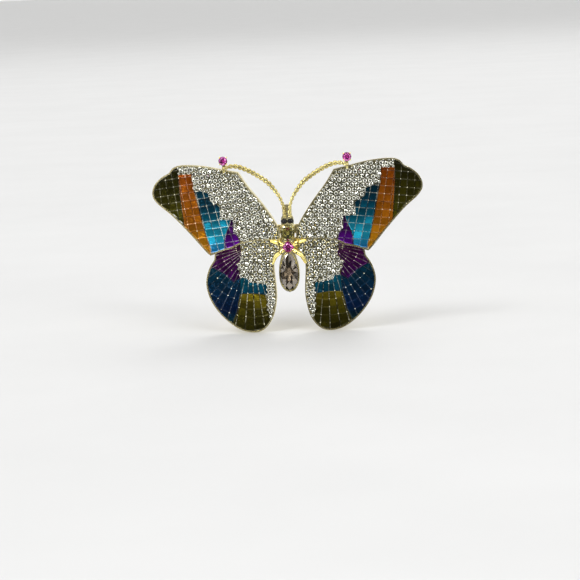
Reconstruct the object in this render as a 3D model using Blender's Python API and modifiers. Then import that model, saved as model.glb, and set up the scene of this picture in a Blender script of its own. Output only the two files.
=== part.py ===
"""A butterfly tie tack: a jewelled brooch body with two tack posts, each held by a spring locking clutch.

Lengths in the constants are millimetres; MM turns them into Blender's metres.  The butterfly stands
upright as it is worn and faces -Y.  The origin is on the body's axis, level with the posts, on the
plane where the post pads meet the fabric.  Left (_l) and right (_r) are as seen from the front.

A wing is drawn flat in its own frame: u runs out from the body's axis, v runs up from the waist, and
depth runs back from the forewing's front face.  Both wings then sweep back by WING_SWEEP.
"""

import math

import bmesh
import bpy
from mathutils import Matrix, Vector

MM = 0.001
TURN = 2.0 * math.pi

# the whole brooch
WING_SWEEP = math.radians(5.0)
FRONT_AT_AXIS = -4.26       # world y of the forewings' front faces, where they would meet at the axis
WAIST_HEIGHT = -3.4         # world z of the waist, from which v is measured
GAP = 0.04                  # clearance between soldered or seated neighbours
RIM = 0.3                   # width of the polished rim round every recess

# depths behind the forewing's front face
FOREWING_DEPTH = (0.0, 1.3)
HINDWING_DEPTH = (1.35, 2.45)
RECESS = 0.8
ENAMEL_BELOW_RIM = 0.15
BED_THICKNESS = 0.3

# paved crystals
CRYSTAL_PITCH = 1.14
CRYSTAL_RADIUS = 0.54
CRYSTAL_HEIGHT = 0.8
SMALL_CRYSTAL_RADIUS = 0.36
SMALL_CRYSTAL_HEIGHT = 0.6
CRYSTAL_SINK = 0.06         # how far a stone's base sits in its bed
CRYSTAL_ROWS = {            # the rows' direction, and where the first row starts
    "forewing": (math.radians(56.0), (0.85, 0.0)),
    "hindwing": (math.radians(30.0), (0.57, 0.75)),
}

# body casting and its stones, as depths in front of FRONT_AT_AXIS (negative) or behind it
BODY_BACK = 1.29
BODY_FRONT = -1.1
NECK_FRONT = -0.5
BODY_SEAT = -0.1
BEZEL = 0.17
WAIST_STONE_RADIUS = 1.15
WAIST_STONE_V = -0.4
EYE_RADIUS = 0.62
EYE_PLACE = (0.72, 5.22)

# antennae
ANTENNA_DEPTH = -0.92
ANTENNA_RADIUS = 0.5
STEM_PLACE = (13.5, 16.0)
STEM_TOP = 18.4
STEM_RADIUS = 0.32
FOOT_V = 16.62
FOOT_RADIUS = 0.2
CUP_RADIUS = 0.8
TIP_STONE_V = 18.9
TIP_STONE_RADIUS = 1.0

# fastening
POST_X = 13.0
PAD_RADIUS = 2.8
POST_RADIUS = 0.6
POST_TIP = 11.5
SOCKET_DEPTH = 1.0
BRIDGE_HALF_LENGTH = 6.3
BRIDGE_V = (2.3, 4.3)
BRIDGE_THICKNESS = 0.8
FABRIC_GAP = 4.5            # from the pads to the clutch's front plate
PLATE_RADIUS = 4.55
PLATE_THICKNESS = 0.5
CONE_START = (1.05, 0.7)    # radius and depth where the clutch's wedge cone starts
CONE_END = (2.2, 3.0)
BALL_RADIUS = 0.5
BALL_COUNT = 3
SHOULDER = (3.1, 3.4)
HOUSING_BACK = (5.95, 6.3)
KNOB_BACK = 8.3
SPRING_RADIUS = 1.95
SPRING_WIRE = 0.15
SPRING_TURNS = 4

# outlines in (u, v): smooth runs that meet at corners
FOREWING_RUNS = (
    ((1.8, 3.3), (3.4, 6.1), (5.9, 9.7), (8.6, 13.1), (10.6, 16.2)),
    ((10.6, 16.2), (14.4, 17.0), (18.4, 17.8), (21.8, 18.1), (24.0, 18.0), (25.2, 17.5)),
    ((25.2, 17.5), (26.1, 16.4)),
    ((26.1, 16.4), (27.8, 15.5), (29.4, 13.9), (30.0, 11.7), (28.9, 9.7), (25.8, 7.0),
     (21.8, 2.7), (18.6, -1.1), (17.5, -2.1)),
    ((17.5, -2.1), (14.7, -1.1), (12.7, -0.6), (10.5, 0.4), (7.8, 0.9), (4.4, 1.0), (1.8, 0.9)),
    ((1.8, 0.9), (1.8, 3.3)),
)
HINDWING_RUNS = (
    ((16.6, -0.6), (17.0, -3.2)),
    ((17.0, -3.2), (18.3, -5.3), (19.05, -8.3), (18.45, -11.6), (16.8, -14.6), (14.2, -17.35),
     (11.3, -19.15), (8.4, -19.6), (6.2, -18.85), (4.4, -16.5), (3.5, -13.2), (3.3, -10.2),
     (3.6, -6.0), (3.6, -4.2)),
    ((3.6, -4.2), (3.2, -3.1), (2.4, -2.3), (1.4, -1.85), (0.4, -1.7)),
    ((0.4, -1.7), (0.4, 0.2)),
    ((0.4, 0.2), (2.2, 1.9)),
    ((2.2, 1.9), (8.5, 2.0)),
    ((8.5, 2.0), (10.2, 1.4), (11.5, 0.5), (13.0, 0.15), (15.0, 0.1), (16.6, -0.6)),
)
BODY_HALF = (
    (0.0, 4.52), (0.95, 4.46), (1.5, 4.05), (1.56, 3.0), (1.42, 1.5), (1.34, 0.6), (1.42, -0.4),
    (1.34, -1.4), (1.6, -2.4), (2.12, -4.4), (2.25, -6.6), (1.98, -8.5), (1.15, -9.9), (0.0, -10.4),
)
NECK_HALF = ((0.0, 8.9), (0.7, 8.85), (0.98, 8.5), (1.02, 6.5), (1.36, 5.9), (1.36, 4.4), (0.0, 4.4))
THORAX_HALF = ((0.0, 4.3), (0.95, 4.2), (1.27, 3.8), (1.3, 2.7), (1.15, 1.7), (0.75, 1.15), (0.0, 1.0))
ABDOMEN_HALF = ((0.0, -1.8), (0.75, -2.1), (1.45, -3.6), (1.92, -5.6), (1.9, -7.4), (1.3, -9.2), (0.0, -9.95))

# regions of a recess in (u, v); they run past the recess where they end at its wall
FOREWING_CRYSTAL_FIELD = (
    (2.2, -2.0), (10.6, -2.0), (10.7, 0.3), (11.2, 2.0), (12.1, 3.1), (12.2, 5.8), (15.0, 5.9),
    (14.9, 8.8), (17.2, 10.1), (17.4, 11.8), (20.7, 12.8), (21.0, 16.1), (24.0, 16.1), (24.1, 20.0),
    (2.2, 20.0),
)
FOREWING_CELLS = {
    "olive": ((24.0, 16.1), (23.9, 12.9), (23.6, 9.4), (23.3, 6.4), (23.0, 2.0), (32.0, 2.0),
              (32.0, 20.0), (24.1, 20.0)),
    "orange": ((24.0, 16.1), (21.0, 16.1), (20.7, 12.8), (20.1, 10.4), (19.6, 7.9), (19.0, 5.0),
               (18.2, 2.0), (17.4, -0.6), (17.4, -3.0), (22.8, -3.0), (23.0, 2.0), (23.3, 6.4),
               (23.6, 9.4), (23.9, 12.9)),
    "teal": ((20.7, 12.8), (17.4, 11.8), (17.2, 10.1), (14.9, 8.8), (15.0, 5.9), (12.6, 5.8),
             (13.3, 4.0), (13.9, 2.6), (14.3, 0.9), (14.3, -3.0), (17.4, -3.0), (17.4, -0.6),
             (18.2, 2.0), (19.0, 5.0), (19.6, 7.9), (20.1, 10.4)),
    "purple": ((12.6, 5.8), (12.2, 5.8), (12.1, 3.1), (11.2, 2.0), (10.7, 0.3), (10.6, -2.0),
               (14.3, -3.0), (14.3, 0.9), (13.9, 2.6), (13.3, 4.0)),
}
HINDWING_CRYSTAL_FIELD = (
    (2.2, 3.0), (2.2, -18.0), (5.0, -18.0), (5.2, -15.8), (5.6, -14.4), (5.6, -13.0), (5.5, -11.3),
    (5.5, -8.8), (7.1, -8.7), (9.3, -8.4), (10.0, -7.4), (11.3, -7.3), (11.9, -4.4), (10.7, -2.6),
    (11.1, -0.7), (11.1, 3.0),
)
HINDWING_CELLS = {
    "purple": ((11.1, 3.0), (11.1, -0.7), (10.7, -2.6), (11.9, -4.4), (11.3, -7.3), (12.9, -8.3),
               (14.8, -6.4), (17.2, -5.1), (20.0, -4.4), (20.0, 3.0)),
    "blue": ((20.0, -4.4), (17.2, -5.1), (14.8, -6.4), (12.9, -8.3), (11.3, -7.3), (11.5, -11.0),
             (12.0, -12.9), (12.4, -14.9), (13.2, -16.7), (14.2, -20.0), (22.0, -20.0), (22.0, -5.0)),
    "teal": ((11.3, -7.3), (10.0, -7.4), (9.3, -8.4), (7.1, -8.7), (5.5, -8.8), (5.5, -11.3),
             (8.8, -10.9), (11.5, -11.0)),
    "olive": ((11.5, -11.0), (8.8, -10.9), (5.5, -11.3), (5.6, -13.0), (5.6, -14.4), (5.2, -15.8),
              (5.0, -20.0), (14.2, -20.0), (13.2, -16.7), (12.4, -14.9), (12.0, -12.9)),
}
# an antenna's centre line in (u, v), with its thickness as a share of ANTENNA_RADIUS
ANTENNA_PATH = (
    ((0.5, 6.1), 0.66), ((0.52, 7.4), 0.66), ((0.8, 9.1), 0.66), ((1.45, 10.7), 0.75),
    ((2.6, 12.4), 0.9), ((3.9, 13.9), 1.0), ((5.6, 15.15), 1.0), ((7.5, 16.3), 1.0),
    ((9.7, 17.3), 1.0), ((11.5, 17.65), 0.9), ((13.4, 17.3), 0.75),
)

COLOURS = {
    "gold": ((0.86, 0.69, 0.22), 0.18, 1.0),
    "crystal": ((0.86, 0.88, 0.86), 0.05, 0.0),
    "olive": ((0.13, 0.12, 0.01), 0.12, 0.0),
    "orange": ((0.55, 0.19, 0.01), 0.12, 0.0),
    "teal": ((0.01, 0.22, 0.33), 0.12, 0.0),
    "purple": ((0.10, 0.01, 0.17), 0.12, 0.0),
    "blue": ((0.01, 0.06, 0.16), 0.12, 0.0),
    "topaz": ((0.28, 0.24, 0.07), 0.06, 0.0),
    "magenta": ((0.55, 0.02, 0.38), 0.06, 0.0),
    "black": ((0.01, 0.01, 0.01), 0.15, 0.0),
    "steel": ((0.62, 0.62, 0.60), 0.25, 1.0),
}


def remove_everything():
    """Empty the scene."""
    for item in list(bpy.data.objects):
        bpy.data.objects.remove(item, do_unlink=True)


def new_collection(name):
    """A collection linked to the scene."""
    collection = bpy.data.collections.new(name)
    bpy.context.scene.collection.children.link(collection)
    return collection


def new_material(name):
    """A Principled material in one of the named colours."""
    colour, roughness, metallic = COLOURS[name]
    material = bpy.data.materials.new(name)
    material.use_nodes = True
    shader = material.node_tree.nodes["Principled BSDF"]
    shader.inputs["Base Color"].default_value = (*colour, 1.0)
    shader.inputs["Roughness"].default_value = roughness
    shader.inputs["Metallic"].default_value = metallic
    material.diffuse_color = (*colour, 1.0)
    return material


def shade(mesh, angle=30.0):
    """Smooth shading with creases where faces meet at more than the angle."""
    mesh.shade_smooth()
    mesh.set_sharp_from_angle(angle=math.radians(angle))


# ---------------------------------------------------------------- outlines in the plane

def smooth_run(points, steps=4):
    """Points along a Catmull-Rom curve through a run, without its last point."""
    ends = [2 * Vector(points[0]) - Vector(points[1]), 2 * Vector(points[-1]) - Vector(points[-2])]
    row = [ends[0]] + [Vector(point) for point in points] + [ends[1]]
    curve = []
    for before, start, end, after in zip(row, row[1:], row[2:], row[3:]):
        for step in range(steps):
            t = step / steps
            curve.append(0.5 * (2 * start + (end - before) * t
                                + (2 * before - 5 * start + 4 * end - after) * t ** 2
                                + (3 * start - before - 3 * end + after) * t ** 3))
    return curve


def outline_of(runs):
    """A closed outline from smooth runs that meet at corners."""
    points = []
    for run in runs:
        points += smooth_run(run) if len(run) > 2 else [Vector(run[0])]
    return points


def both_halves(half):
    """A closed outline from its right half, which starts and ends on the axis."""
    right = smooth_run(half, steps=3) + [Vector(half[-1])]
    return right + [Vector((-point.x, point.y)) for point in reversed(right[1:-1])]


def signed_area(points):
    """Area of a polygon, positive when it runs anticlockwise."""
    return 0.5 * sum(a.x * b.y - b.x * a.y for a, b in zip(points, points[1:] + points[:1]))


def inset(points, distance, trim=True):
    """A closed outline moved inwards, or outwards when the distance is negative."""
    points = [Vector(point) for point in points]
    turn = 1.0 if signed_area(points) > 0 else -1.0
    moved = []
    for index, point in enumerate(points):
        into = (point - points[index - 1]).normalized()
        out = (points[(index + 1) % len(points)] - point).normalized()
        normal_in = turn * Vector((-into.y, into.x))
        normal_out = turn * Vector((-out.y, out.x))
        mitre = normal_in + normal_out
        place = point + mitre * (2.0 * distance / mitre.length_squared)
        # past a corner the moved line would cross itself, so trimming keeps only points at full distance
        if not trim or abs(room_inside(place, points)) > 0.97 * abs(distance):
            moved.append(place)
    return moved


def room_inside(point, polygon):
    """Distance from a point to a polygon's nearest edge, negative when the point is outside."""
    polygon = [Vector(corner) for corner in polygon]
    inside = False
    nearest = float("inf")
    for a, b in zip(polygon, polygon[1:] + polygon[:1]):
        along = max(0.0, min(1.0, (point - a).dot(b - a) / (b - a).length_squared))
        nearest = min(nearest, (point - a.lerp(b, along)).length)
        if (a.y > point.y) != (b.y > point.y):
            if point.x < a.x + (point.y - a.y) * (b.x - a.x) / (b.y - a.y):
                inside = not inside
    return nearest if inside else -nearest


# ---------------------------------------------------------------- objects

class Builder:
    """Makes the objects of the tie tack and keeps their collections and materials."""

    def __init__(self):
        self.parts = new_collection("butterfly_tie_tack")
        self.cutters = new_collection("cutters")
        self.materials = {name: new_material(name) for name in COLOURS}

    def add(self, name, mesh, parent=None, material="gold", cutter=False):
        """Link a mesh as a part, or as a hidden cutter."""
        item = bpy.data.objects.new(name, mesh)
        (self.cutters if cutter else self.parts).objects.link(item)
        item.parent = parent
        if cutter:
            item.hide_render = True
            item.display_type = "WIRE"
        else:
            mesh.materials.clear()
            mesh.materials.append(self.materials[material])
        return item

    def empty(self, name, location, rotation=(0.0, 0.0, 0.0)):
        """An empty that carries a group of parts, with its place in millimetres."""
        item = bpy.data.objects.new(name, None)
        item.location = Vector(location) * MM
        item.rotation_euler = rotation
        item.empty_display_size = 0.003
        self.parts.objects.link(item)
        return item

    def mesh_of(self, curve):
        """A curve's mesh with its caps welded on."""
        item = bpy.data.objects.new("outline", curve)
        bpy.context.scene.collection.objects.link(item)
        seen = item.evaluated_get(bpy.context.evaluated_depsgraph_get())
        mesh = bpy.data.meshes.new_from_object(seen)
        bpy.data.objects.remove(item, do_unlink=True)
        work = bmesh.new()
        work.from_mesh(mesh)
        bmesh.ops.remove_doubles(work, verts=work.verts, dist=0.0005 * MM)
        bmesh.ops.recalc_face_normals(work, faces=work.faces)
        work.to_mesh(mesh)
        work.free()
        return mesh

    def plate(self, name, points, front, back, **where):
        """A flat outline in millimetres, made solid between two depths."""
        curve = bpy.data.curves.new(name, "CURVE")
        curve.dimensions = "2D"
        curve.fill_mode = "BOTH"
        curve.extrude = 0.5 * (back - front) * MM
        spline = curve.splines.new("POLY")
        spline.points.add(len(points) - 1)
        for target, point in zip(spline.points, points):
            target.co = (point[0] * MM, point[1] * MM, 0.0, 1.0)
        spline.use_cyclic_u = True
        mesh = self.mesh_of(curve)
        mesh.transform(Matrix.Translation((0.0, 0.0, -0.5 * (front + back) * MM)))
        shade(mesh)
        return self.add(name, mesh, **where)

    def turned(self, name, profile, steps, closed=True, **where):
        """A profile of (radius, depth) turned about the local Z axis, which points to the front."""
        mesh = bpy.data.meshes.new(name)
        points = [(radius * MM, 0.0, -depth * MM) for radius, depth in profile]
        edges = [(index, index + 1) for index in range(len(points) - 1)]
        if closed:
            edges.append((len(points) - 1, 0))
        mesh.from_pydata(points, edges, [])
        item = self.add(name, mesh, **where)
        screw = item.modifiers.new("turn", "SCREW")
        screw.angle = TURN
        screw.steps = steps
        screw.render_steps = steps
        screw.use_merge_vertices = True
        screw.merge_threshold = 0.000001
        screw.use_smooth_shade = False
        return item

    def combine(self, item, other, operation):
        """Join to, cut from or keep only what an object shares with a cutter."""
        modifier = item.modifiers.new(operation.lower() + "_" + other.name, "BOOLEAN")
        modifier.operation = operation
        modifier.solver = "EXACT"
        modifier.object = other
        return item


def wing_back(x):
    """World y of the forewings' back faces at a distance x from the body's axis."""
    return FRONT_AT_AXIS + abs(x) * math.tan(WING_SWEEP) + FOREWING_DEPTH[1] / math.cos(WING_SWEEP)


def on_side(points, side):
    """Points in (u, v) placed on the left (-1) or the right (1)."""
    return [Vector((side * point[0], point[1])) for point in points]


def crystal_places(kind, field, recess):
    """Centres and radii of the stones that fit in a field: even rows, then small stones in the gaps."""
    angle, start = CRYSTAL_ROWS[kind]
    along = Vector((math.cos(angle), math.sin(angle)))
    across = Vector((along.y, -along.x))
    row_step = CRYSTAL_PITCH * math.sqrt(3.0) / 2.0
    places = []
    for row in range(-30, 31):
        for column in range(-30, 31):
            offset = CRYSTAL_PITCH * (column + 0.5 * (row % 2)) + start[0]
            place = along * offset + across * (row * row_step + start[1])
            if min(room_inside(place, field), room_inside(place, recess)) > CRYSTAL_RADIUS + GAP:
                places.append((place, CRYSTAL_RADIUS))

    low = Vector((min(point.x for point in recess), min(point.y for point in recess)))
    high = Vector((max(point.x for point in recess), max(point.y for point in recess)))
    step = 0.5 * SMALL_CRYSTAL_RADIUS
    margin = SMALL_CRYSTAL_RADIUS + GAP
    for row in range(int((high.y - low.y) / step)):
        for column in range(int((high.x - low.x) / step)):
            place = low + Vector((column, row)) * step
            if all((place - other).length > radius + margin for other, radius in places):
                if min(room_inside(place, field), room_inside(place, recess)) > margin:
                    places.append((place, SMALL_CRYSTAL_RADIUS))
    return places


def paved_stones(build, name, places, side, base, frame):
    """A hexagonal pyramid for each stone, as one cutter mesh."""
    work = bmesh.new()
    for place, radius in places:
        height = CRYSTAL_HEIGHT if radius == CRYSTAL_RADIUS else SMALL_CRYSTAL_HEIGHT
        centre = Vector((side * place.x, place.y, -base + 0.5 * height)) * MM
        bmesh.ops.create_cone(work, cap_ends=True, segments=6, radius1=radius * MM, radius2=0.0,
                              depth=height * MM, matrix=Matrix.Translation(centre))
    mesh = bpy.data.meshes.new(name)
    work.to_mesh(mesh)
    work.free()
    return build.add(name, mesh, parent=frame, cutter=True)


def make_wing(build, kind, runs, depths, cells, field, side, tag, frame):
    """One wing: its cast frame, an enamel fill for each coloured cell, and the paved crystals."""
    front, back = depths
    outline = outline_of(runs)
    recess = inset(outline, RIM)
    floor = front + RECESS
    casting = build.plate(f"{kind}_frame_{tag}", on_side(outline, side), front, back, parent=frame)
    hollow = build.plate(f"{kind}_recess_{tag}", on_side(recess, side), front - 1.0, floor,
                         parent=frame, cutter=True)
    build.combine(casting, hollow, "DIFFERENCE")

    lining = inset(recess, GAP)
    for colour, region in cells.items():
        fill = build.plate(f"{kind}_{colour}_enamel_{tag}", on_side(lining, side),
                           front + ENAMEL_BELOW_RIM, floor - GAP, parent=frame, material=colour)
        area = build.plate(f"{kind}_{colour}_area_{tag}", on_side(inset(region, 0.5 * GAP), side),
                           front - 1.0, floor + 1.0, parent=frame, cutter=True)
        build.combine(fill, area, "INTERSECT")

    bed_front = floor - GAP - BED_THICKNESS
    bed = build.plate(f"{kind}_crystals_{tag}", on_side(lining, side), bed_front, floor - GAP,
                      parent=frame, material="crystal")
    area = build.plate(f"{kind}_crystal_area_{tag}", on_side(inset(field, 0.5 * GAP), side),
                       front - 1.0, floor + 1.0, parent=frame, cutter=True)
    build.combine(bed, area, "INTERSECT")
    places = crystal_places(kind, field, lining)
    stones = paved_stones(build, f"{kind}_stones_{tag}", places, side, bed_front + CRYSTAL_SINK, frame)
    build.combine(bed, stones, "UNION")


def cut_stone(build, name, outline, levels, **where):
    """A cut stone: its outline, inset in turn at each (depth, inset) level from back to front."""
    rings = [[Vector((*point, -depth)) * MM for point in inset(outline, step, trim=False)]
             for depth, step in levels]
    work = bmesh.new()
    rows = [[work.verts.new(point) for point in ring] for ring in rings]
    work.faces.new(rows[0])
    work.faces.new(rows[-1])
    for lower, upper in zip(rows, rows[1:]):
        for index in range(len(lower)):
            work.faces.new((lower[index - 1], lower[index], upper[index], upper[index - 1]))
    bmesh.ops.recalc_face_normals(work, faces=work.faces)
    mesh = bpy.data.meshes.new(name)
    work.to_mesh(mesh)
    work.free()
    return build.add(name, mesh, **where)


def circle(centre, radius, count):
    """Points round a circle in the plane."""
    return [Vector((centre[0] + radius * math.cos(TURN * step / count),
                    centre[1] + radius * math.sin(TURN * step / count))) for step in range(count)]


def make_body(build, frame):
    """The body casting with its three stones and two eyes."""
    casting = build.plate("body_casting", both_halves(BODY_HALF), BODY_FRONT, BODY_BACK, parent=frame)
    neck = build.plate("neck_block", [Vector(point) for point in NECK_HALF]
                       + [Vector((-point[0], point[1])) for point in reversed(NECK_HALF[1:-1])],
                       NECK_FRONT, BODY_BACK - 0.02, parent=frame, cutter=True)
    build.combine(casting, neck, "UNION")

    shapes = {
        "thorax": (both_halves(THORAX_HALF), "topaz", ((BODY_SEAT - GAP, 0.0), (-1.2, 0.0), (-1.75, 0.5))),
        "waist": (circle((0.0, WAIST_STONE_V), WAIST_STONE_RADIUS, 12), "magenta",
                  ((BODY_SEAT - GAP, 0.0), (-1.25, 0.0), (-1.7, 0.45))),
        "abdomen": (both_halves(ABDOMEN_HALF), "crystal",
                    ((BODY_SEAT - GAP, 0.0), (-1.2, 0.0), (-1.8, 0.4), (-2.2, 0.95))),
    }
    for name, (outline, material, levels) in shapes.items():
        seat = build.plate(f"{name}_seat", inset(outline, -GAP), BODY_FRONT - 1.0, BODY_SEAT,
                           parent=frame, cutter=True)
        build.combine(casting, seat, "DIFFERENCE")
        cut_stone(build, f"{name}_stone", outline, levels, parent=frame, material=material)

    for side, tag in ((-1, "l"), (1, "r")):
        base = NECK_FRONT - 0.03
        arc = [(EYE_RADIUS * math.sin(0.25 * math.pi * step / 2),
                base - EYE_RADIUS * math.cos(0.25 * math.pi * step / 2)) for step in range(5)]
        arc[-1] = (EYE_RADIUS, base)
        eye = build.turned(f"eye_{tag}", arc + [(0.0, base)], 12, closed=False, parent=frame,
                           material="black")
        eye.location = (side * EYE_PLACE[0] * MM, EYE_PLACE[1] * MM, 0.0)


def make_antenna(build, side, tag, frame):
    """One antenna: a tapering rod, with an upright stem that carries a cup and a round stone."""
    curve = bpy.data.curves.new("antenna", "CURVE")
    curve.dimensions = "3D"
    curve.bevel_depth = ANTENNA_RADIUS * MM
    curve.bevel_resolution = 1
    curve.use_fill_caps = True
    path = smooth_run([(*place, share) for place, share in ANTENNA_PATH], steps=2)
    path.append(Vector((*ANTENNA_PATH[-1][0], ANTENNA_PATH[-1][1])))
    spline = curve.splines.new("POLY")
    spline.points.add(len(path) - 1)
    for target, point in zip(spline.points, path):
        target.co = (side * point.x * MM, point.y * MM, -ANTENNA_DEPTH * MM, 1.0)
        target.radius = point.z
    mesh = build.mesh_of(curve)
    shade(mesh)
    antenna = build.add(f"antenna_{tag}", mesh, parent=frame)

    def rod(name, start, end, radius, count):
        """A round rod between two points, as a piece to join to the antenna."""
        start = Vector(start) * MM
        end = Vector(end) * MM
        work = bmesh.new()
        turn = (end - start).to_track_quat("Z", "Y").to_matrix().to_4x4()
        bmesh.ops.create_cone(work, cap_ends=True, segments=count, radius1=radius * MM,
                              radius2=radius * MM, depth=(end - start).length,
                              matrix=Matrix.Translation((start + end) / 2) @ turn)
        piece = bpy.data.meshes.new(name)
        work.to_mesh(piece)
        work.free()
        build.combine(antenna, build.add(f"{name}_{tag}", piece, parent=frame, cutter=True), "UNION")

    u = side * STEM_PLACE[0]
    front = -ANTENNA_DEPTH
    rod("stem", (u, STEM_PLACE[1], front), (u, STEM_TOP, front), STEM_RADIUS, 8)
    rod("foot", (u, FOOT_V, 0.03), (u, FOOT_V, front), FOOT_RADIUS, 8)
    rod("cup", (u, TIP_STONE_V, front - 0.35), (u, TIP_STONE_V, front + 0.25), CUP_RADIUS, 12)
    cut_stone(build, f"antenna_stone_{tag}", circle((u, TIP_STONE_V), TIP_STONE_RADIUS, 12),
              ((ANTENNA_DEPTH - 0.29, 0.25), (ANTENNA_DEPTH - 0.6, 0.0), (ANTENNA_DEPTH - 0.8, 0.0),
               (ANTENNA_DEPTH - 1.15, 0.4)), parent=frame, material="magenta")


def make_bridge(build):
    """The strap soldered behind the wing roots, bent to the wings' sweep."""
    reach = BRIDGE_HALF_LENGTH
    front = [(x, wing_back(x) + 0.03) for x in (-reach, 0.0, reach)]
    back = [(x, y + BRIDGE_THICKNESS) for x, y in reversed(front)]
    low, high = BRIDGE_V
    bridge = build.plate("wing_bridge", [Vector(point) for point in front + back], -high, -low)
    bridge.location = (0.0, 0.0, WAIST_HEIGHT * MM)


def make_post(build, side, tag):
    """A post pad fitted to the wing's back, and the sharp tack post in its socket."""
    axis = build.empty(f"post_axis_{tag}", (side * POST_X, 0.0, 0.0), (math.pi / 2, 0.0, 0.0))
    depth = 2.5
    bore = POST_RADIUS + 0.03
    profile = [(0.0, -depth), (PAD_RADIUS, -depth), (PAD_RADIUS, 0.0), (bore, 0.0),
               (bore, -SOCKET_DEPTH - 0.03), (0.0, -SOCKET_DEPTH - 0.03)]
    pad = build.turned(f"post_pad_{tag}", profile, 24, closed=False, parent=axis)
    reach = 2.0 * PAD_RADIUS
    edge = [(side * x, wing_back(x) + 0.03) for x in (POST_X - reach, POST_X + reach)]
    wedge_points = [Vector(point) for point in edge + [(edge[1][0], -6.0), (edge[0][0], -6.0)]]
    wedge = build.plate(f"pad_slope_{tag}", wedge_points, -reach, reach, cutter=True)
    build.combine(pad, wedge, "DIFFERENCE")

    build.turned(f"tack_post_{tag}", [
        (0.0, -SOCKET_DEPTH), (POST_RADIUS, -SOCKET_DEPTH), (POST_RADIUS, POST_TIP - 3.6),
        (POST_RADIUS - 0.08, POST_TIP - 3.4), (POST_RADIUS - 0.08, POST_TIP - 3.0),
        (POST_RADIUS, POST_TIP - 2.8), (POST_RADIUS - 0.04, POST_TIP - 2.0), (0.12, POST_TIP - 0.1),
        (0.0, POST_TIP)], 12, closed=False, parent=axis)


def make_clutch(build, side, tag):
    """A locking clutch: front plate with its wedge cone, housing, chuck with pull knob, balls, spring."""
    axis = build.empty(f"clutch_axis_{tag}", (side * POST_X, FABRIC_GAP, 0.0), (math.pi / 2, 0.0, 0.0))
    cone_r, cone_y = CONE_START
    wide_r, wide_y = CONE_END
    hole = POST_RADIUS + 0.25
    build.turned(f"clutch_front_plate_{tag}", [
        (hole, 0.0), (PLATE_RADIUS, 0.0), (PLATE_RADIUS, PLATE_THICKNESS), (2.6, PLATE_THICKNESS),
        (2.6, wide_y), (wide_r, wide_y), (cone_r, cone_y), (hole, cone_y)], 24, parent=axis)

    inner, outer = HOUSING_BACK
    build.turned(f"clutch_housing_{tag}", [
        (4.6, 0.12), (4.95, 0.12), (4.95, 0.7), (4.6, 1.3), (3.6, 2.6), (3.1, 4.4), (3.0, outer - 0.3),
        (2.7, outer), (1.4, outer), (1.4, inner), (2.65, inner), (2.75, 4.4), (3.25, 2.5),
        (4.25, 1.15), (4.6, 0.65)], 24, parent=axis)

    slope = (wide_r - cone_r) / (wide_y - cone_y)
    nose_y = 1.25
    nose_end = 2.9
    nose = [(cone_r + slope * (depth - cone_y) - 0.14, depth) for depth in (nose_y, nose_end)]
    bore = POST_RADIUS + 0.12
    shoulder_front, shoulder_back = SHOULDER
    chuck = build.turned(f"clutch_chuck_{tag}", [
        (bore, nose_y), *nose, (2.05, shoulder_front), (2.3, shoulder_front), (2.3, shoulder_back),
        (1.2, shoulder_back), (1.2, outer + 0.3), (2.1, outer + 0.35), (2.45, outer + 0.7),
        (2.45, KNOB_BACK - 0.45), (2.1, KNOB_BACK), (0.0, KNOB_BACK)][1:]
        + [(0.0, KNOB_BACK - 0.6), (bore, KNOB_BACK - 0.9)], 24, parent=axis)

    ball_r = POST_RADIUS + BALL_RADIUS + 0.03
    contact = (BALL_RADIUS + 0.02) * math.sqrt(1.0 + slope ** 2)
    ball_y = cone_y + (ball_r + contact - cone_r) / slope
    for number in range(BALL_COUNT):
        angle = TURN * number / BALL_COUNT + math.pi / 2
        direction = Vector((math.cos(angle), math.sin(angle), 0.0))
        work = bmesh.new()
        bmesh.ops.create_cone(work, cap_ends=True, segments=10, radius1=(BALL_RADIUS + 0.05) * MM,
                              radius2=(BALL_RADIUS + 0.05) * MM, depth=2.0 * MM,
                              matrix=direction.to_track_quat("Z", "Y").to_matrix().to_4x4())
        window = bpy.data.meshes.new(f"window_{tag}_{number}")
        work.to_mesh(window)
        work.free()
        cutter = build.add(f"window_{tag}_{number}", window, parent=axis, cutter=True)
        cutter.location = (direction * 1.5 + Vector((0.0, 0.0, -ball_y))) * MM
        build.combine(chuck, cutter, "DIFFERENCE")

        work = bmesh.new()
        bmesh.ops.create_uvsphere(work, u_segments=10, v_segments=6, radius=BALL_RADIUS * MM)
        ball = bpy.data.meshes.new(f"ball_{tag}_{number + 1}")
        work.to_mesh(ball)
        work.free()
        ball.shade_smooth()
        item = build.add(f"clutch_ball_{tag}_{number + 1}", ball, parent=axis, material="steel")
        item.location = (direction * ball_r + Vector((0.0, 0.0, -ball_y))) * MM

    make_spring(build, tag, axis)


def make_spring(build, tag, axis):
    """The coil spring between the chuck's shoulder and the housing's back wall."""
    start = SHOULDER[1] + SPRING_WIRE + 0.05
    end = HOUSING_BACK[0] - SPRING_WIRE - 0.05
    count = 10 * SPRING_TURNS
    curve = bpy.data.curves.new("spring", "CURVE")
    curve.dimensions = "3D"
    curve.bevel_depth = SPRING_WIRE * MM
    curve.bevel_resolution = 0
    curve.use_fill_caps = True
    spline = curve.splines.new("POLY")
    spline.points.add(count)
    for step, target in enumerate(spline.points):
        angle = TURN * SPRING_TURNS * step / count
        depth = start + (end - start) * step / count
        target.co = (SPRING_RADIUS * math.cos(angle) * MM, SPRING_RADIUS * math.sin(angle) * MM,
                     -depth * MM, 1.0)
    mesh = build.mesh_of(curve)
    shade(mesh)
    build.add(f"clutch_spring_{tag}", mesh, parent=axis, material="steel")


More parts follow.
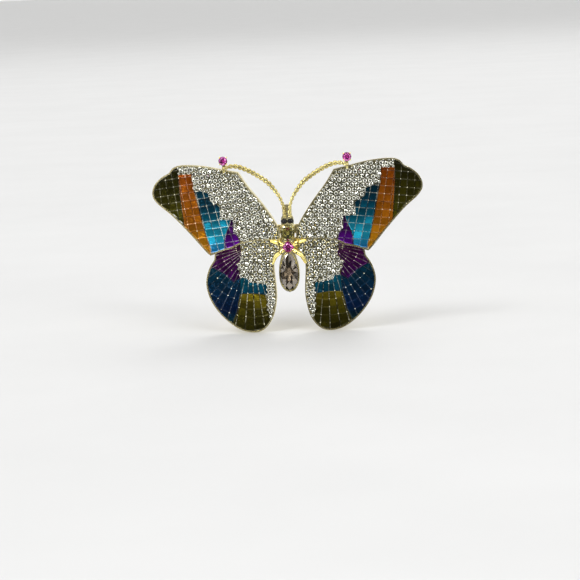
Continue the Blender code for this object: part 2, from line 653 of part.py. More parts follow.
def main():
    remove_everything()
    build = Builder()
    upright = (math.pi / 2, 0.0, 0.0)
    place = (0.0, FRONT_AT_AXIS, WAIST_HEIGHT)
    make_body(build, build.empty("body_frame", place, upright))
    make_bridge(build)
    for side, tag in ((-1, "l"), (1, "r")):
        frame = build.empty(f"wing_frame_{tag}", place, (math.pi / 2, 0.0, side * WING_SWEEP))
        make_wing(build, "forewing", FOREWING_RUNS, FOREWING_DEPTH, FOREWING_CELLS,
                  FOREWING_CRYSTAL_FIELD, side, tag, frame)
        make_wing(build, "hindwing", HINDWING_RUNS, HINDWING_DEPTH, HINDWING_CELLS,
                  HINDWING_CRYSTAL_FIELD, side, tag, frame)
        make_antenna(build, side, tag, frame)
        make_post(build, side, tag)
        make_clutch(build, side, tag)
    bpy.context.view_layer.update()


main()
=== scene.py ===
"""Looks of the butterfly tie tack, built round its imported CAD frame.

Lengths in the constants are millimetres; MM turns them into Blender's metres.  Each wing is worked in
its own plane: a runs to the viewer's right along the wing, b runs up from the waist, c runs forward
from the node's front face.
"""

import math
import random

import bmesh
import bpy
from mathutils import Matrix, Vector


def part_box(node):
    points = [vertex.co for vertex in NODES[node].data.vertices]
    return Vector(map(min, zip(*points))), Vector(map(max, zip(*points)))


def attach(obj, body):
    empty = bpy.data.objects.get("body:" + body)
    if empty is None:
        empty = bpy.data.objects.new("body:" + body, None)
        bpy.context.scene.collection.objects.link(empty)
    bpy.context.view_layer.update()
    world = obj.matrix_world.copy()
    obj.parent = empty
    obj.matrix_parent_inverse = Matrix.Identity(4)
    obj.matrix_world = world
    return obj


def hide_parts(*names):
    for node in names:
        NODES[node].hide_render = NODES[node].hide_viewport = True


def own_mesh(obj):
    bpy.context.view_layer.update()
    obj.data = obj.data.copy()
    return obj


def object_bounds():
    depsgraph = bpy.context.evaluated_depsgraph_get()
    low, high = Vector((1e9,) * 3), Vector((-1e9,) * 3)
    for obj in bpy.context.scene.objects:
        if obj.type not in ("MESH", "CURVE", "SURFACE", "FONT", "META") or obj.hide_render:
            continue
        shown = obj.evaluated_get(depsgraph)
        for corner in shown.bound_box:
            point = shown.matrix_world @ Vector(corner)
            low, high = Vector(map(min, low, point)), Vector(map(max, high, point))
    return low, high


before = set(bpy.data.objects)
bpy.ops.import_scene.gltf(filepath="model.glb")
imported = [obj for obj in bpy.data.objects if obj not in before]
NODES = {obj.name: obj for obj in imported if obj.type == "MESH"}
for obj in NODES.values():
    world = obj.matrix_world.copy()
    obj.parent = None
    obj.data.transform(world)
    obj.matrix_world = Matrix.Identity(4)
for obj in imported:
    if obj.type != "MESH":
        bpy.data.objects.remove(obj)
cad_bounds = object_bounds()

MM = 0.001
TURN = 2.0 * math.pi
SIDES = ((-1, "l"), (1, "r"))
UP = Vector((0.0, 0.0, 1.0))

# the plane of the forewings' front: y at the body's axis, the waist's z, and the wings' sweep
FRONT_AT_AXIS = -4.26
WAIST_Z = -3.4
SWEEP = math.radians(5.0)

# view
PICTURE_WIDTH = 127.5        # width of the view at the brooch
LENS = 140.0
SENSOR = 36.0
CAMERA_PITCH = math.radians(7.8)
CAMERA_YAW = math.radians(4.0)
CAMERA_ROLL = math.radians(2.4)
WAIST_UP = 10.0              # the waist's place above the view's centre, and to its left
WAIST_LEFT = 0.35


# ---- materials

class Nodes:
    """Short calls for the nodes of a material or a world."""

    def __init__(self, owner):
        owner.use_nodes = True
        self.tree = owner.node_tree

    def node(self, kind, **settings):
        """A new node with its settings."""
        item = self.tree.nodes.new(kind)
        for key, value in settings.items():
            setattr(item, key, value)
        return item

    def put(self, value, socket):
        """Feed a socket from another, or set it to a number or a colour."""
        if isinstance(value, bpy.types.NodeSocket):
            self.tree.links.new(value, socket)
        else:
            socket.default_value = (*value, 1.0) if isinstance(value, tuple) else value

    def span(self, source, low, high, bottom=0.0, top=1.0, interpolation="LINEAR"):
        """A value brought from one range to another."""
        span = self.node("ShaderNodeMapRange", interpolation_type=interpolation)
        for key, value in (("Value", source), ("From Min", low), ("From Max", high),
                           ("To Min", bottom), ("To Max", top)):
            self.put(value, span.inputs[key])
        return span.outputs["Result"]

    def math(self, operation, first, second=0.0):
        """A step of arithmetic on sockets or numbers."""
        item = self.node("ShaderNodeMath", operation=operation)
        self.put(first, item.inputs[0])
        self.put(second, item.inputs[1])
        return item.outputs["Value"]


class Shader(Nodes):
    """A Principled material and short calls for what feeds it."""

    def __init__(self, name):
        self.material = bpy.data.materials.new(name)
        super().__init__(self.material)
        self.surface = self.tree.nodes["Principled BSDF"]
        self.place = self.node("ShaderNodeTexCoord").outputs["Object"]

    def feed(self, **values):
        """Set or feed the shader's own sockets; underscores stand for spaces."""
        for key, value in values.items():
            self.put(value, self.surface.inputs[key.replace("_", " ")])

    def noise(self, size, detail=2.0, stretch=None):
        """Noise whose features are about this many millimetres across."""
        noise = self.node("ShaderNodeTexNoise")
        noise.inputs["Scale"].default_value = 1.0 / (size * MM)
        noise.inputs["Detail"].default_value = detail
        source = self.place
        if stretch:
            mapping = self.node("ShaderNodeMapping")
            mapping.inputs["Scale"].default_value = stretch
            self.put(source, mapping.inputs["Vector"])
            source = mapping.outputs["Vector"]
        self.put(source, noise.inputs["Vector"])
        return noise.outputs["Fac"]

    def ramp(self, source, stops):
        """Colours or greys along a value from 0 to 1."""
        ramp = self.node("ShaderNodeValToRGB")
        elements = ramp.color_ramp.elements
        while len(elements) < len(stops):
            elements.new(0.5)
        for element, (position, colour) in zip(elements, stops):
            colour = colour if isinstance(colour, tuple) else (colour, colour, colour)
            element.position = position
            element.color = (*colour, 1.0)
        self.put(source, ramp.inputs["Fac"])
        return ramp.outputs["Color"]

    def height(self):
        """World height, in metres."""
        parts = self.node("ShaderNodeSeparateXYZ")
        self.put(self.place, parts.inputs["Vector"])
        return parts.outputs["Z"]

    def attribute(self, name):
        """A number stored on the mesh."""
        return self.node("ShaderNodeAttribute", attribute_name=name).outputs["Fac"]

    def blend(self, kind, factor, first, second):
        """Mix, multiply or screen two colours."""
        mix = self.node("ShaderNodeMix", data_type="RGBA", blend_type=kind)
        self.put(factor, mix.inputs[0])
        for socket, value in zip((s for s in mix.inputs if s.type == "RGBA"), (first, second)):
            self.put(value, socket)
        return next(s for s in mix.outputs if s.type == "RGBA")

    def bump(self, source, depth, strength=1.0):
        """A bump this many millimetres deep."""
        bump = self.node("ShaderNodeBump")
        bump.inputs["Strength"].default_value = strength
        bump.inputs["Distance"].default_value = depth * MM
        self.put(source, bump.inputs["Height"])
        self.feed(Normal=bump.outputs["Normal"])


def gold_material(name, light, deep, smoothness, grain):
    """Polished plate with a little cloudiness, fine handling marks and soft waviness."""
    shader = Shader(name)
    shader.feed(Metallic=1.0, Coat_Weight=0.15, Coat_Roughness=0.05)
    cloud = shader.noise(4.0, 3.0)
    marks = shader.noise(0.35, 4.0, stretch=(1.0, 1.0, 6.0))
    shader.feed(Base_Color=shader.ramp(cloud, ((0.3, deep), (0.62, light))),
                Roughness=shader.ramp(marks, ((0.3, smoothness), (0.75, smoothness + 0.14))))
    shader.bump(shader.noise(grain, 3.0), 0.03, 0.35)
    return shader.material


def enamel_material(name, stops, low, high, painted_sparkle):
    """Glossy translucent enamel over bright metal: colour by height, with each tile its own tone, the
    brightest tiles lifted by a painted highlight.
    """
    shader = Shader(name)
    shader.feed(Metallic=0.6, Coat_Weight=0.3, Coat_Roughness=0.03, Specular_IOR_Level=0.1)
    colour = shader.ramp(shader.span(shader.height(), low * MM, high * MM), stops)
    # tiles differ in tone at random; the top of the ramp lifts the brightest tiles above the enamel's
    # colour by the painted sparkle, a painted highlight
    tone = shader.ramp(shader.attribute("tone"), ((0.0, 0.62), (0.7, 1.0), (1.0, 1.0 + painted_sparkle)))
    toned = shader.blend("MULTIPLY", 1.0, colour, tone)
    cloud = shader.ramp(shader.noise(0.5, 3.0), ((0.3, 0.72), (0.7, 1.0)))
    shader.feed(Base_Color=shader.blend("MULTIPLY", 1.0, toned, cloud),
                Roughness=shader.ramp(shader.noise(0.3, 2.0), ((0.3, 0.10), (0.7, 0.2))))
    shader.bump(shader.noise(0.3, 2.0), 0.07, 0.7)
    return shader.material


def ridge_material(name, stops, low, high, painted_sparkle):
    """The bright ground's ridges, which carry only a thin wash of the enamel's colour; patches of them are
    painted dark so that they glint only in places.
    """
    shader = Shader(name)
    shader.feed(Metallic=1.0, Coat_Weight=0.6, Coat_Roughness=0.04)
    colour = shader.ramp(shader.span(shader.height(), low * MM, high * MM), stops)
    # the painted sparkle pales the ridges towards light gold, a painted highlight
    washed = shader.blend("MIX", painted_sparkle, colour, (0.98, 0.95, 0.78))
    # painted highlight and shade: random patches of the ridges stay bright and the rest is darkened to a
    # few hundredths, so they glint only in places
    painted_glint_patches = shader.ramp(shader.noise(1.6, 2.0), ((0.42, 0.06), (0.55, 1.0)))
    shader.feed(Base_Color=shader.blend("MULTIPLY", 1.0, washed, painted_glint_patches),
                Roughness=shader.ramp(shader.noise(0.4, 2.0), ((0.3, 0.2), (0.7, 0.36))))
    return shader.material


def glass_material(name, tint, mirror):
    """The clear upper part of a cut stone; mirror is the share of a reflecting film on its facets."""
    shader = Shader(name)
    shader.feed(IOR=1.6, Transmission_Weight=1.0, Coat_Weight=0.2, Metallic=mirror)
    shade = tuple(0.95 * value for value in tint)
    shader.feed(Base_Color=shader.ramp(shader.noise(1.5, 1.0), ((0.35, shade), (0.6, tint))),
                Roughness=shader.ramp(shader.noise(0.8, 1.0), ((0.4, 0.0), (0.9, 0.03))))
    return shader.material


def foil_material(name, dark, light):
    """The mirror foil on a stone's back facets; each stone has its own tone."""
    shader = Shader(name)
    shader.feed(Metallic=1.0)
    toned = shader.ramp(shader.attribute("tone"), ((0.0, dark), (1.0, light)))
    cloud = shader.ramp(shader.noise(0.4, 2.0), ((0.3, 0.7), (0.65, 1.0)))
    shader.feed(Base_Color=shader.blend("MULTIPLY", 1.0, toned, cloud),
                Roughness=shader.ramp(shader.noise(0.5, 1.0), ((0.3, 0.04), (0.8, 0.14))))
    return shader.material


def bead_material():
    """Black glass beads with faint smears."""
    shader = Shader("black_glass")
    shader.feed(Coat_Weight=0.1, Coat_Roughness=0.02, Specular_IOR_Level=0.2)
    shader.feed(Base_Color=shader.ramp(shader.noise(0.6, 2.0), ((0.3, 0.004), (0.8, 0.015))),
                Roughness=shader.ramp(shader.noise(0.4, 2.0), ((0.3, 0.08), (0.8, 0.2))))
    return shader.material


def floor_material():
    """Plain pale matt floor."""
    shader = Shader("pale_floor")
    shader.feed(Specular_IOR_Level=0.2)
    shader.feed(Base_Color=shader.ramp(shader.noise(60.0, 2.0), ((0.3, 0.60), (0.7, 0.62))),
                Roughness=shader.ramp(shader.noise(20.0, 2.0), ((0.3, 0.65), (0.7, 0.75))))
    return shader.material


# each enamel: its colours from its lowest to its highest point, that span of height, and its
# painted sparkle, a painted highlight: how much a tile may brighten and how bright its ridges are
ENAMELS = {
    "forewing_olive": (((0.0, (0.10, 0.095, 0.004)), (0.5, (0.055, 0.05, 0.002)),
                        (1.0, (0.020, 0.018, 0.001))), -2.0, 13.0, 0.15),
    "forewing_orange": (((0.0, (0.62, 0.27, 0.008)), (0.35, (0.45, 0.14, 0.004)),
                         (1.0, (0.28, 0.055, 0.001))), -4.0, 13.0, 0.2),
    "forewing_teal": (((0.0, (0.02, 0.20, 0.55)), (0.22, (0.02, 0.46, 0.66)),
                       (0.48, (0.003, 0.14, 0.22)), (0.7, (0.001, 0.045, 0.080)),
                       (1.0, (0.001, 0.022, 0.036))), -5.0, 9.5, 0.8),
    "forewing_purple": (((0.0, (0.13, 0.004, 0.30)), (0.3, (0.11, 0.004, 0.25)),
                         (0.5, (0.045, 0.002, 0.085)), (1.0, (0.03, 0.002, 0.06))), -4.0, 2.4, 0.6),
    "hindwing_purple": (((0.0, (0.040, 0.002, 0.075)), (1.0, (0.070, 0.002, 0.070))),
                        -11.5, -4.0, 0.5),
    "hindwing_blue": (((0.0, (0.001, 0.030, 0.012)), (0.3, (0.001, 0.014, 0.065)),
                       (1.0, (0.001, 0.042, 0.075))), -22.0, -8.0, 0.12),
    "hindwing_teal": (((0.0, (0.002, 0.06, 0.11)), (1.0, (0.002, 0.10, 0.15))), -14.5, -10.5, 0.75),
    "hindwing_olive": (((0.0, (0.026, 0.024, 0.001)), (0.5, (0.060, 0.052, 0.002)),
                        (1.0, (0.18, 0.14, 0.007))), -22.5, -14.0, 0.6),
}
MATERIALS = {
    "gold": gold_material("gold_plate", (0.97, 0.88, 0.54), (0.82, 0.71, 0.36), 0.10, 0.5),
    "rim_gold": gold_material("rim_gold", (0.97, 0.88, 0.52), (0.72, 0.60, 0.27), 0.19, 0.5),
    # very pale gold for the beads that stand in for glints at the enamel's crossings, a painted highlight
    "painted_glint_gold": gold_material("painted_glint_gold", (0.99, 0.95, 0.78), (0.95, 0.88, 0.62), 0.24, 0.5),
    "aged_gold": gold_material("aged_gold", (0.66, 0.58, 0.26), (0.42, 0.35, 0.13), 0.16, 0.5),
    "bright_gold": gold_material("bright_gold", (0.98, 0.86, 0.34), (0.88, 0.70, 0.20), 0.07, 0.8),
    "back_gold": gold_material("cast_back", (0.80, 0.66, 0.28), (0.60, 0.46, 0.16), 0.24, 0.25),
    # painted shade: the stone bed is the setting's metal, but its dark olive stands for the shade in the
    # gaps between the stones
    "bed": gold_material("stone_bed_painted_shade", (0.30, 0.27, 0.13), (0.10, 0.09, 0.035), 0.35, 0.3),
    "steel": gold_material("bright_steel", (0.72, 0.72, 0.70), (0.52, 0.52, 0.50), 0.14, 0.4),
    "crystal": glass_material("clear_crystal", (0.86, 0.86, 0.77), 0.6),
    "crystal_foil": foil_material("crystal_foil", (0.58, 0.57, 0.46), (0.97, 0.97, 0.90)),
    "smoky_glass": glass_material("smoky_glass", (0.52, 0.43, 0.33), 0.15),
    "olive_glass": glass_material("olive_glass", (0.86, 0.82, 0.52), 0.25),
    "olive_foil": foil_material("olive_foil", (0.50, 0.46, 0.16), (0.85, 0.78, 0.34)),
    "magenta_glass": glass_material("magenta_glass", (0.90, 0.25, 0.72), 0.3),
    "magenta_foil": foil_material("magenta_foil", (0.55, 0.06, 0.40), (0.75, 0.16, 0.58)),
    "smoky_foil": foil_material("smoky_foil", (0.09, 0.08, 0.06), (0.84, 0.78, 0.68)),
    "black": bead_material(),
}
for enamel_name, enamel_look in ENAMELS.items():
    MATERIALS[enamel_name] = enamel_material(enamel_name + "_enamel", *enamel_look)
    MATERIALS[enamel_name + "_ridge"] = ridge_material(enamel_name + "_ridge", *enamel_look)


# ---- planes, meshes and pieces

def plane_matrix(right, forward, origin):
    """The matrix from an upright plane's millimetres (a, b, c) to the world; the origin is in metres."""
    matrix = Matrix.Identity(4)
    for index, axis in enumerate((right, UP, forward)):
        matrix.col[index][0:3] = axis * MM
    matrix.col[3][0:3] = origin
    return matrix


def plane(side):
    """The matrix of the forewings' front plane (side -1 or 1) or the body's (side 0)."""
    sweep = side * SWEEP
    return plane_matrix(Vector((math.cos(sweep), math.sin(sweep), 0.0)),
                        Vector((math.sin(sweep), -math.cos(sweep), 0.0)),
                        Vector((0.0, FRONT_AT_AXIS, WAIST_Z)) * MM)


def front_plane(name):
    """The matrix of a node's front plane."""
    mesh = NODES[name].data
    faces = [face for face in mesh.polygons if face.normal.y < -0.9]
    largest = max(faces, key=lambda face: face.area)
    forward = Vector((largest.normal.x, largest.normal.y, 0.0)).normalized()
    right = Vector((-forward.y, forward.x, 0.0))
    front = max(forward.dot(mesh.vertices[index].co) for face in faces for index in face.vertices)
    origin = forward * front
    origin.z = WAIST_Z * MM
    # slide the origin along the plane to the body's axis
    origin -= right * (origin.x / right.x)
    return plane_matrix(right, forward, origin)


def node_mesh(name, matrix=None):
    """A CAD node's mesh with its flat faces made whole, in a plane's millimetres or the world's metres."""
    work = bmesh.new()
    work.from_mesh(NODES[name].data)
    bmesh.ops.transform(work, matrix=matrix.inverted() if matrix else Matrix.Scale(1.0 / MM, 4),
                        verts=work.verts)
    bmesh.ops.remove_doubles(work, verts=work.verts, dist=0.0005)
    bmesh.ops.dissolve_limit(work, angle_limit=math.radians(0.4), verts=work.verts, edges=work.edges)
    return work


def new_object(name, data):
    """A new object in the scene."""
    item = bpy.data.objects.new(name, data)
    bpy.context.scene.collection.objects.link(item)
    return item


def new_mesh(name, work, materials):
    """A new mesh from a bmesh, with its materials."""
    mesh = bpy.data.meshes.new(name)
    work.to_mesh(mesh)
    work.free()
    for material in materials:
        mesh.materials.append(material)
    return mesh


def piece(name, work, materials, body="root", replaces=(), matrix=None,
          smooth_angle=30.0):
    """Turn a mesh in millimetres into a visible piece that rides on a CAD body."""
    bmesh.ops.transform(work, matrix=matrix if matrix else Matrix.Scale(MM, 4), verts=work.verts)
    bmesh.ops.recalc_face_normals(work, faces=work.faces)
    mesh = new_mesh(name, work, [MATERIALS[material] for material in materials])
    if smooth_angle:
        mesh.shade_smooth()
        mesh.set_sharp_from_angle(angle=math.radians(smooth_angle))
    item = new_object(name, mesh)
    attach(item, body)
    if replaces:
        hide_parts(*replaces)
    return item


def round_edges(item, width, segments=3, angle=35.0):
    """Small rounded edges, in millimetres, on an object whose mesh is in metres."""
    bevel = item.modifiers.new("rounded_edges", "BEVEL")
    bevel.width = width * MM
    bevel.segments = segments
    bevel.limit_method = "ANGLE"
    bevel.angle_limit = math.radians(angle)
    bevel.use_clamp_overlap = True
    bevel.harden_normals = True
    return item


# ---- castings

CAST_EDGE = 0.15             # radius of the castings' rounded edges
PAD_EDGE = 0.06
FACING = 0.9                 # how squarely a face looks forward or back to take that side's finish


def make_castings():
    """The gold castings with softened edges: satin fronts, polished sides and duller backs."""
    names = [f"{kind}_{tag}" for kind in ("forewing_frame", "hindwing_frame", "post_pad")
             for _, tag in SIDES] + ["body_casting", "wing_bridge"]
    for name in names:
        work = node_mesh(name)
        for face in work.faces:
            back, front = face.normal.y > FACING, face.normal.y < -FACING
            face.material_index = 1 if back else 2 if front else 0
        item = piece(name + "_cast", work, ("gold", "back_gold", "rim_gold"), replaces=(name,))
        round_edges(item, PAD_EDGE if "pad" in name else CAST_EDGE, 4)


# ---- enamel

TILE_RIDGE = 0.065           # half the width of a ridge between two tiles
RIDGE_RISE = (0.01, 0.07)    # how far the ridges' crossings stand above the cell's edge
# the small bright beads at the crossings stand in for glints: painted highlights
SPECK_SHARE = 0.6            # share of the crossings that carry a small bright bead
SPECK_RADIUS = (0.07, 0.13)
TILE_SLOPE = 0.09
TILE_SINK = 0.05
TILE_TILT = 0.035            # how far a tile's corners may stand above or below its middle
SMALLEST_TILE = 0.12         # square millimetres

# forewing: near-upright lines that fan out upwards, as (start, step) at two heights
FOREWING_LOW = (0.0, 17.8, 1.9)
FOREWING_HIGH = (16.0, 21.0, 1.5)
FOREWING_ACROSS = 1.75
FOREWING_ACROSS_SLOPE = -0.12
FOREWING_LINES = range(-6, 8)
FOREWING_CROSS_LINES = range(-4, 12)
FOREWING_MIDDLE = 20.0       # a where the cross lines' heights are counted
# hindwing: rays from a point near the waist, crossed by short straight lines at equal radii
FAN_CENTRE = (8.4, -0.4)
FAN_STEP = math.radians(7.0)
FAN_RING = 1.75
FAN_RAYS = range(-6, 22)     # counted from straight down
FAN_RINGS = range(1, 14)


def cut_across(work, faces, point, normal):
    """Cut faces along a line of their plane."""
    geometry = list(faces) + [edge for edge in {edge for face in faces for edge in face.edges}]
    geometry += [vert for vert in {vert for face in faces for vert in face.verts}]
    geometry.sort(key=lambda part: (type(part).__name__, part.index))
    bmesh.ops.bisect_plane(work, geom=geometry, dist=0.0005, plane_co=(*point, 0.0),
                           plane_no=(*normal, 0.0))
    work.verts.index_update()
    work.edges.index_update()
    work.faces.index_update()


def front_faces(work):
    """The faces that look forward."""
    return [face for face in work.faces if face.normal.z > 0.99]


def cut_forewing_tiles(work, side):
    """Cut a forewing cell's front into tiles with a fan of upright lines and sloping cross lines."""
    low_b, low_start, low_step = FOREWING_LOW
    high_b, high_start, high_step = FOREWING_HIGH
    for line in FOREWING_LINES:
        low = Vector((side * (low_start + line * low_step), low_b))
        high = Vector((side * (high_start + line * high_step), high_b))
        along = high - low
        cut_across(work, front_faces(work), low, (along.y, -along.x))
    for line in FOREWING_CROSS_LINES:
        point = Vector((side * FOREWING_MIDDLE, line * FOREWING_ACROSS))
        cut_across(work, front_faces(work), point, (-side * FOREWING_ACROSS_SLOPE, 1.0))


def cut_hindwing_tiles(work, side):
    """Cut a hindwing cell's front into tiles with rays and rings about a point near the waist."""
    centre = Vector((side * FAN_CENTRE[0], FAN_CENTRE[1]))

    def ray(number):
        """The direction of a ray, counted from straight down."""
        angle = number * FAN_STEP
        return Vector((side * math.sin(angle), -math.cos(angle)))

    for number in FAN_RAYS:
        middle = ray(number)
        ahead = [face for face in front_faces(work)
                 if (face.calc_center_median().xy - centre).dot(middle) > 0.0]
        if ahead:
            cut_across(work, ahead, centre, (middle.y, -middle.x))
    edge = math.cos(0.5 * FAN_STEP)
    for number in range(FAN_RAYS.start - 1, FAN_RAYS.stop):
        middle = ray(number + 0.5)
        for ring in FAN_RINGS:
            wedge = [face for face in front_faces(work)
                     if (face.calc_center_median().xy - centre).normalized().dot(middle) > edge]
            if wedge:
                cut_across(work, wedge, centre + middle * (ring * FAN_RING), middle)


def is_bright_ray(face, side):
    """Whether a hindwing ridge runs along a ray and away from its cell's wall."""
    if any(other.normal.z < 0.5 for edge in face.edges for other in edge.link_faces):
        return False
    longest = max(face.edges, key=lambda edge: edge.calc_length())
    along = (longest.verts[0].co - longest.verts[1].co).xy.normalized()
    out = (face.calc_center_median().xy - Vector((side * FAN_CENTRE[0], FAN_CENTRE[1]))).normalized()
    return abs(along.dot(out)) > 0.8


def make_enamel(name, kind, side):
    """An enamel fill whose front is a field of slightly tilted tiles between bright ridges."""
    matrix = front_plane(name)
    work = node_mesh(name, matrix)
    (cut_forewing_tiles if kind.startswith("forewing") else cut_hindwing_tiles)(work, side)
    tone = work.faces.layers.float.new("tone")
    chance = random.Random(name[:-1])
    crossings = []
    for vert in work.verts:
        if all(face.normal.z > 0.99 for face in vert.link_faces):
            vert.co.z += chance.uniform(*RIDGE_RISE)
            crossings.append(vert.co.copy())
    tiles = [face for face in front_faces(work) if face.calc_area() > SMALLEST_TILE]
    for face in work.faces:
        face[tone] = 0.5
    ridges = bmesh.ops.inset_individual(work, faces=tiles, thickness=TILE_RIDGE, depth=0.0,
                                        use_even_offset=True)["faces"]
    for face in ridges:
        # painted highlight: every forewing ridge and the hindwing ridges along the rays take the pale
        # ridge material, while the hindwing's cross ridges keep the enamel's colour
        if kind.startswith("forewing") or is_bright_ray(face, side):
            face.material_index = 1
    bmesh.ops.inset_individual(work, faces=tiles, thickness=TILE_SLOPE, depth=-TILE_SINK)
    for face in tiles:
        face[tone] = chance.random()
        middle = face.calc_center_median()
        tilt = Vector((chance.uniform(-1.0, 1.0), chance.uniform(-1.0, 1.0))) * TILE_TILT
        for vert in face.verts:
            vert.co.z += max(-TILE_TILT, min(TILE_TILT, (vert.co - middle).xy.dot(tilt)))
    # painted highlights: pale beads at some crossings stand in for glints
    for place in crossings:
        if chance.random() < SPECK_SHARE:
            bmesh.ops.create_icosphere(work, subdivisions=1, radius=chance.uniform(*SPECK_RADIUS),
                                       matrix=Matrix.Translation(place))
    for face in work.faces:
        if len(face.verts) == 3 and face.calc_area() < SMALLEST_TILE / 6.0:
            face.material_index = 2
    piece(name + "_tiles", work, (kind, kind + "_ridge", "painted_glint_gold"),
          replaces=(name,), matrix=matrix, smooth_angle=None)


# ---- cut stones

MIDDLE_RING = (0.80, 0.62)   # share of the outline, and of the crown's height
WAIST_RING = (0.62, 0.52)    # share of the outline, and of the pavilion's depth
KEEL_SHARE = 0.22
GIRDLE_HALF = 0.06           # half the girdle's thickness, as a share of the crown


def facet_stone(work, outline, forward, crown, pavilion, tone, table=0.56):
    """Add a cut stone: star, kite and girdle facets over a foiled back, on an even-numbered outline.

    The outline is the girdle's points in (a, b); forward is the girdle's c, crown and pavilion are
    the heights above and below it, and tone is called for each facet's tone.
    """
    layer = work.faces.layers.float.get("tone") or work.faces.layers.float.new("tone")
    centre = sum(outline, Vector((0.0, 0.0))) / len(outline)
    count = len(outline) // 2
    girdle_low = [work.verts.new((*point, forward - GIRDLE_HALF * crown)) for point in outline]
    girdle = [work.verts.new((*point, forward + GIRDLE_HALF * crown)) for point in outline]

    def ring(share, height, points):
        """Points of the outline drawn in towards the centre, at a height."""
        return [work.verts.new((*centre.lerp(point, share), forward + height)) for point in points]

    top = ring(table, crown, outline[0::2])
    middle = ring(MIDDLE_RING[0], MIDDLE_RING[1] * crown, outline[1::2])
    keel = ring(KEEL_SHARE, -pavilion, outline[0::2])
    waist = ring(WAIST_RING[0], -WAIST_RING[1] * pavilion, outline[1::2])
    clear = [work.faces.new(top)]
    foiled = [work.faces.new(list(reversed(keel)))]
    for index in range(count):
        this = 2 * index
        half = this + 1
        after = (this + 2) % len(outline)
        following = (index + 1) % count
        clear += [work.faces.new(corners) for corners in (
            (top[index], middle[index], top[following]),
            (top[index], middle[index - 1], girdle[this], middle[index]),
            (middle[index], girdle[this], girdle[half]),
            (middle[index], girdle[half], girdle[after]))]
        foiled += [work.faces.new(corners) for corners in (
            (keel[index], keel[following], waist[index]),
            (keel[index], waist[index], girdle_low[this], waist[index - 1]),
            (waist[index], girdle_low[half], girdle_low[this]),
            (waist[index], girdle_low[after], girdle_low[half]),
            (girdle[this], girdle_low[this], girdle_low[half], girdle[half]),
            (girdle[half], girdle_low[half], girdle_low[after], girdle[after]))]
    for face in foiled:
        face.material_index = 1
    for face in clear + foiled:
        face[layer] = tone()


def circle(centre, radius, count, turn=0.0):
    """Points round a circle in a plane."""
    return [Vector((centre[0] + radius * math.cos(turn + TURN * step / count),
                    centre[1] + radius * math.sin(turn + TURN * step / count))) for step in range(count)]


GIRDLE_ABOVE_BED = 0.45
STONE_TILT = 0.22            # the most that a stone leans, in radians
STONE_SIDES = 12
STONE_GROWTH = 1.05          # a cut stone's radius over its packed peak's
STONE_CROWN = 0.36           # crown and pavilion over a stone's radius
STONE_PAVILION = 0.62
PEAK_RISE = 0.3              # a vertex this far above the bed is a stone's peak
FILL_RADII = (0.5, 0.42, 0.34, 0.26)
FILL_STEP = 0.13
FILL_OVERHANG = 0.16         # how far a stone may reach over the field's edge
FILL_OVERLAP = 0.04


def edge_distance(point, outline):
    """The distance from a point to an outline, negative outside it."""
    nearest = 1e9
    inside = False
    for start, end in zip(outline, outline[1:] + outline[:1]):
        along = end - start
        share = max(0.0, min(1.0, (point - start).dot(along) / max(along.length_squared, 1e-9)))
        nearest = min(nearest, (point - start - along * share).length)
        if (start.y > point.y) != (end.y > point.y):
            if point.x < start.x + along.x * (point.y - start.y) / along.y:
                inside = not inside
    return nearest if inside else -nearest


def fill_places(packed, places):
    """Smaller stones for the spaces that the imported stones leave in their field."""
    back = max((face for face in packed.faces if face.normal.z < -0.99), key=lambda f: f.calc_area())
    outline = [vert.co.xy for vert in back.verts]
    left = min(point.x for point in outline)
    right = max(point.x for point in outline)
    low = min(point.y for point in outline)
    high = max(point.y for point in outline)
    grid = []
    for column in range(int((right - left) / FILL_STEP) + 1):
        for row in range(int((high - low) / FILL_STEP) + 1):
            point = Vector((left + column * FILL_STEP, low + row * FILL_STEP))
            room = edge_distance(point, outline) + FILL_OVERHANG
            gap = min((point - Vector((a, b))).length - radius for a, b, radius in places)
            room = min(room, gap + FILL_OVERLAP)
            if room >= FILL_RADII[-1]:
                grid.append((point, room))
    added = []
    for radius in FILL_RADII:
        for point, room in grid:
            if room >= radius and all((point - Vector((a, b))).length + FILL_OVERLAP > radius + other
                                      for a, b, other in added):
                added.append((point.x, point.y, radius))
    return added


def stone_places(work):
    """The centres and radii of the stones that a packed crystal field marks with its peaks."""
    bed = max(vert.co.z for vert in work.verts
              if any(face.normal.z > 0.999 for face in vert.link_faces))
    places = []
    for vert in work.verts:
        if vert.co.z > bed + PEAK_RISE:
            feet = [edge.other_vert(vert).co for edge in vert.link_edges]
            radius = sum((foot - vert.co).xy.length for foot in feet) / len(feet)
            places.append((vert.co.x, vert.co.y, radius))
    return bed, sorted(places)


def make_crystals(name):
    """A field of separate round stones, set in a bed."""
    matrix = front_plane(name)
    packed = node_mesh(name, matrix)
    bed, places = stone_places(packed)
    chance = random.Random(name[:-1])
    girdle = bed + GIRDLE_ABOVE_BED
    work = bmesh.new()
    work.faces.layers.float.new("tone")
    for a, b, radius in places + fill_places(packed, places):
        radius *= STONE_GROWTH
        turn = chance.uniform(0.0, TURN)
        start = len(work.verts)
        facet_stone(work, circle((a, b), radius, STONE_SIDES, turn), girdle, STONE_CROWN * radius,
                    STONE_PAVILION * radius, tone=lambda value=chance.random(): value)
        work.verts.ensure_lookup_table()
        tilt = Matrix.Rotation(chance.uniform(0.0, STONE_TILT), 3,
                               Vector((math.cos(turn), math.sin(turn), 0.0)))
        pivot = Vector((a, b, girdle))
        for vert in work.verts[start:]:
            vert.co = pivot + tilt @ (vert.co - pivot)
    piece(name + "_stones", work, ("crystal", "crystal_foil"),
          replaces=(name,), matrix=matrix, smooth_angle=None)
    make_bed(name, packed, bed, matrix)


